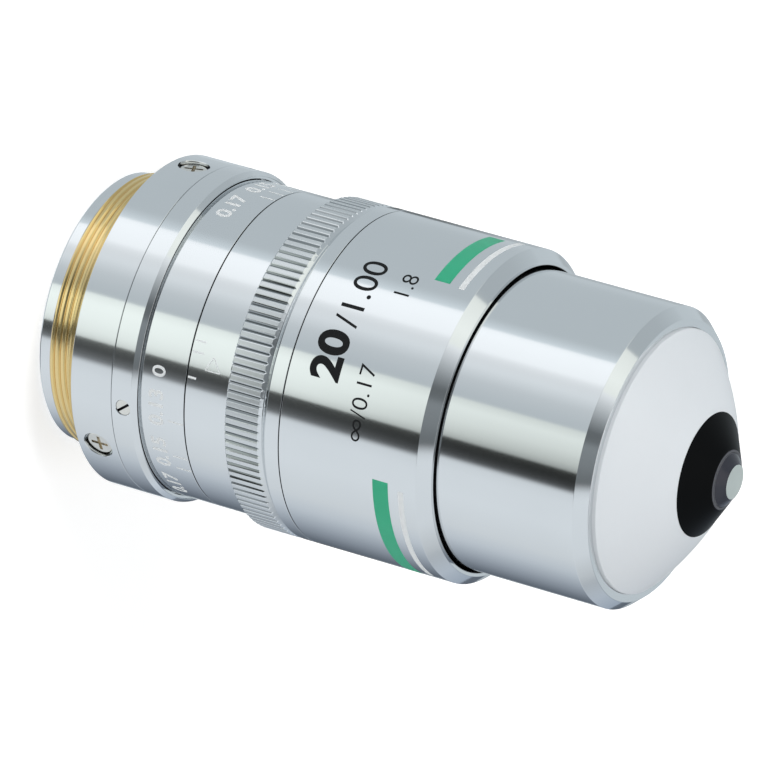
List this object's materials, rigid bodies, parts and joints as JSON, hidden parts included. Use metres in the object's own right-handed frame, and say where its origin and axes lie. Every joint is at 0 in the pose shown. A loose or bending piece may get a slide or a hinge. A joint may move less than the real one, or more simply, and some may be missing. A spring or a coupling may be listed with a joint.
{
  "type": "microscope objective",
  "caption": "Infinity-corrected dipping objective with a threaded rear mount, a turning correction collar that slides an inner lens group, and a ceramic nose.",
  "frame": {"origin": "centre of the mounting shoulder's plane, on the optical axis", "axes": "+Z along the optical axis from the mounting thread to the front lens, -Y towards the side that shows the index tick of the collar"},
  "size_m": [0.0384, 0.0384, 0.0803],
  "materials": {
    "chrome": "bright turned and polished chrome plate",
    "brass_thread": "bare cut brass thread with a plated pilot band",
    "black_metal": "black anodised, satin",
    "dull_alloy": "plain turned alloy",
    "steel": "nickel plated steel",
    "cam_bronze": "greased bronze",
    "ceramic": "fine ground white ceramic, satin",
    "glass": "coated optical glass",
    "seal_rubber": "black nitrile"
  },
  "bodies": {
    "housing": {"mount_ring": "brass_thread", "parfocal_spacer": "steel", "rear_housing": "chrome", "housing_screws": "steel", "rear_lock_ring": "chrome", "lock_set_screws": "steel", "scale_ring": "chrome", "main_tube": "black_metal", "collar_retainer": "chrome", "outer_barrel": "chrome", "nose_barrel": "chrome", "ceramic_nose": "ceramic", "nose_seal": "seal_rubber", "union_ring": "black_metal", "front_lens_mount": "black_metal", "tip_cell": "black_metal", "front_lens": "glass", "tip_meniscus": "glass", "inner_cell": "dull_alloy", "inner_crown": "glass", "inner_flint": "glass", "inner_spacer": "black_metal", "middle_cell": "dull_alloy", "middle_crown": "glass", "middle_flint": "glass", "middle_spacer": "black_metal", "front_cell": "dull_alloy", "front_singlet": "glass", "rear_cell": "dull_alloy", "rear_crown": "glass", "rear_flint": "glass", "rear_retainer": "black_metal"},
    "collar": {"correction_collar": "chrome", "cam_ring": "cam_bronze", "collar_screws": "steel"},
    "correction_group": {"correction_cell": "dull_alloy", "correction_crown": "glass", "correction_flint": "glass", "correction_retainer": "black_metal", "cam_pin": "steel", "cam_roller": "cam_bronze"}
  },
  "joints": [
    {"name": "collar_turn", "type": "hinge", "parent": "housing", "child": "collar", "pos_m": [0, 0, 0.0216], "axis": [0, 0, 1], "range_deg": [-40, 40]},
    {"name": "group_slide", "type": "slide", "parent": "housing", "child": "correction_group", "axis": [0, 0, 1], "range_m": [-0.00115, 0.00115]}
  ],
  "couplings": [
    {"joint": "group_slide", "follows": "collar_turn", "m_per_rad": -0.0015915}
  ]
}
